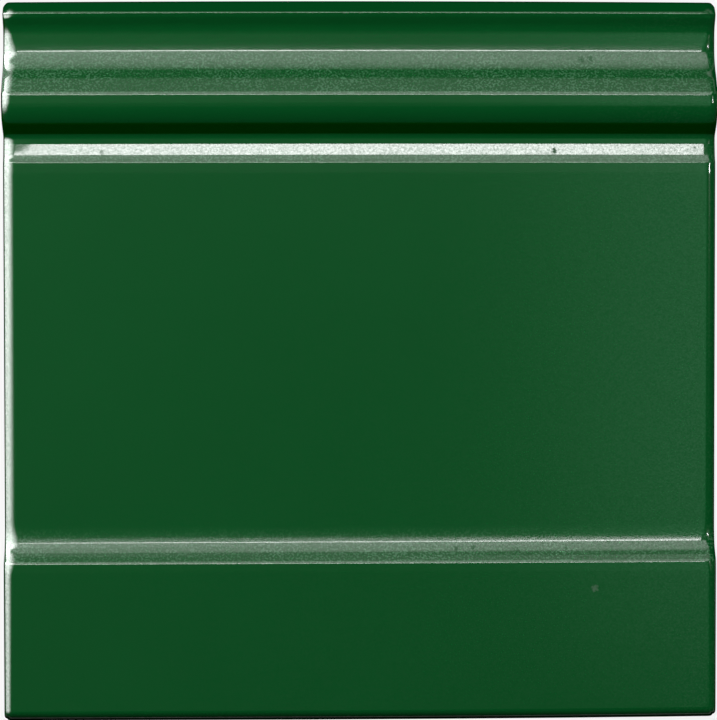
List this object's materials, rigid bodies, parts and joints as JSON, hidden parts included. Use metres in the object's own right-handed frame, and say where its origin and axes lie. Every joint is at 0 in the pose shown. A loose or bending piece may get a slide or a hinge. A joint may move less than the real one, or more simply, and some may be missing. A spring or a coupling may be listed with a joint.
{
  "type": "skirting tile",
  "caption": "Square moulded skirting tile in deep green glossy glazed ceramic, with a rolled top moulding, a flat field and a raised plinth, keyed on its back.",
  "frame": {"origin": "centre of the back, on the bedding surface", "axes": "+X along the skirting, +Y towards the tile's top edge, +Z out of the glazed face"},
  "size_m": [0.152, 0.1536, 0.0149],
  "materials": {
    "green_glaze": "deep green gloss glaze"
  },
  "bodies": {
    "root": {"skirting_tile": "green_glaze"}
  },
  "joints": []
}
